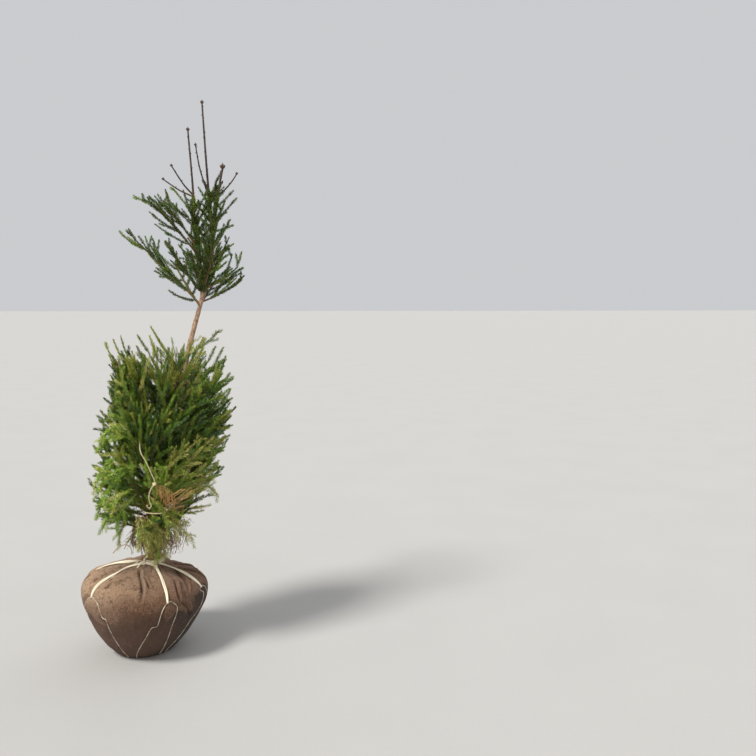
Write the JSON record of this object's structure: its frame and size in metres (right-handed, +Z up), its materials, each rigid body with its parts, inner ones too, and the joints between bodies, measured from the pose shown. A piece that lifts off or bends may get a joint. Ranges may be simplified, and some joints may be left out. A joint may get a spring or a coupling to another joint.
{
  "type": "young spruce sapling with burlap root ball",
  "caption": "Young spruce with a leaning trunk, tied-in lower crown, open upper sprays and bare leader tips, standing on its burlap-wrapped, roped and wire-looped root ball.",
  "frame": {"origin": "centre of the root ball's flat underside", "axes": "+Z up along the height of the plant; +X towards the side that the trunk leans to; +Y away from the viewer of the reference picture"},
  "size_m": [0.7602, 0.5805, 2.537],
  "materials": {
    "burlap": "coarse woven jute, damp and darker towards the underside",
    "rope": "twisted straw-coloured sisal, dry and fibrous",
    "wire": "plain drawn wire with a dull, slightly rusted skin",
    "twine": "thin twisted sisal twine",
    "bark": "thin scaly pinkish-brown bark with branch scars",
    "young_bark": "ridged olive-brown young bark with needle pegs",
    "shoot_bark": "reddish-brown shoot with buds",
    "needles": "dark green waxy needles",
    "bright_needles": "bright green waxy needles",
    "dry_needles": "dead, orange-brown needles near the foot"
  },
  "bodies": {
    "root": {"belly_1": "needles", "belly_2": "needles", "belly_3": "needles", "belly_4": "needles", "belly_5": "needles", "bough_back_high": "young_bark", "bough_back_low": "young_bark", "bough_belly_2": "bark", "bough_front_high": "young_bark", "bough_front_low": "young_bark", "bough_left_high": "young_bark", "bough_left_long": "young_bark", "bough_left_upper": "young_bark", "bough_right_high": "young_bark", "bough_right_low": "young_bark", "bough_shoulder_3": "bark", "bough_skirt_1": "bark", "bough_skirt_3": "bark", "bough_skirt_4": "bark", "crown_twine": "twine", "leader_left": "young_bark", "leader_main": "shoot_bark", "leader_second": "young_bark", "root_ball": "burlap", "rope_collar": "rope", "rope_leg_1": "rope", "rope_leg_2": "rope", "rope_leg_3": "rope", "rope_leg_4": "rope", "rope_leg_5": "rope", "shoulder_1": "needles", "shoulder_2": "needles", "shoulder_3": "needles", "shoulder_4": "needles", "skirt_1": "bright_needles", "skirt_2": "bright_needles", "skirt_3": "bright_needles", "skirt_4": "bright_needles", "skirt_5": "bright_needles", "sleeve_left_leader": "needles", "sleeve_trunk": "needles", "spray_back_high": "needles", "spray_back_low": "needles", "spray_front_high": "needles", "spray_front_low": "needles", "spray_left_high": "needles", "spray_left_long": "needles", "spray_left_upper": "needles", "spray_right_high": "needles", "spray_right_low": "needles", "trunk": "bark", "twig_left_high": "shoot_bark", "twig_left_low": "shoot_bark", "twig_main_left": "shoot_bark", "twig_main_right": "shoot_bark", "wire_loop_1": "wire", "wire_loop_2": "wire", "wire_loop_3": "wire", "wire_loop_4": "wire", "wire_loop_5": "wire"}
  },
  "joints": []
}
